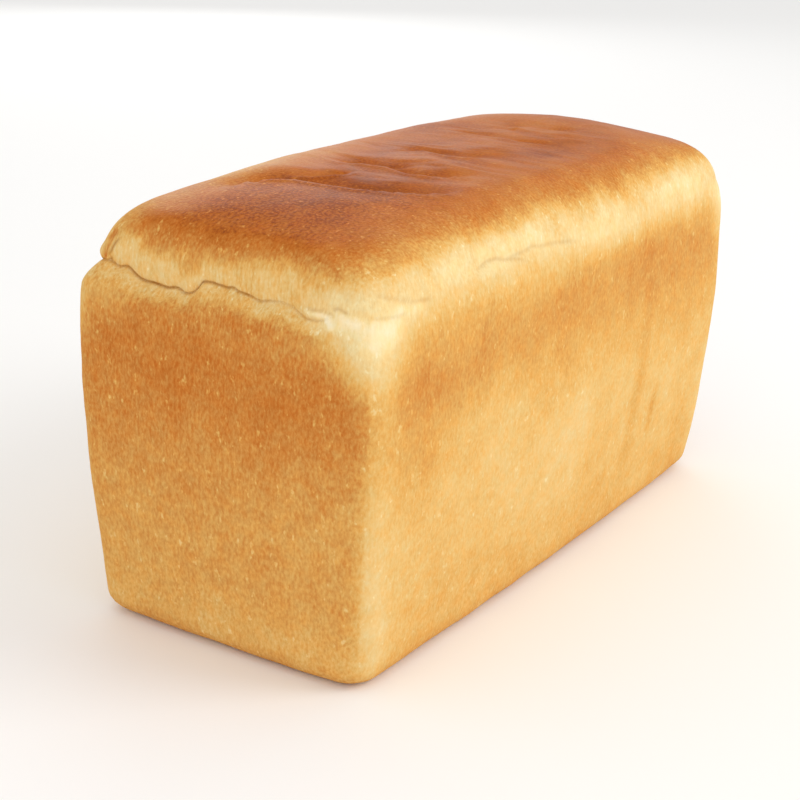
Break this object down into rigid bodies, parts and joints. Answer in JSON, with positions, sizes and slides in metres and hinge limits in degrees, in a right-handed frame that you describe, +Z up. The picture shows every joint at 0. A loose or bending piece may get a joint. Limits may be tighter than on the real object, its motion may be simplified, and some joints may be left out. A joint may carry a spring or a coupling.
{
  "type": "tin loaf",
  "caption": "Whole uncut white tin loaf: tall straight-sided bread with a flat base, a soft break at the tin's rim and a domed, wrinkled crown.",
  "frame": {"origin": "middle of the loaf's flat base, on the surface it stands on", "axes": "+X along the loaf's length, away from the end whose break shows most, +Y across its width, +Z up"},
  "size_m": [0.2432, 0.1112, 0.1324],
  "materials": {
    "crust": "golden baked bread crust, satin on the crown, matt on the sides"
  },
  "bodies": {
    "root": {"loaf": "crust"}
  },
  "joints": []
}
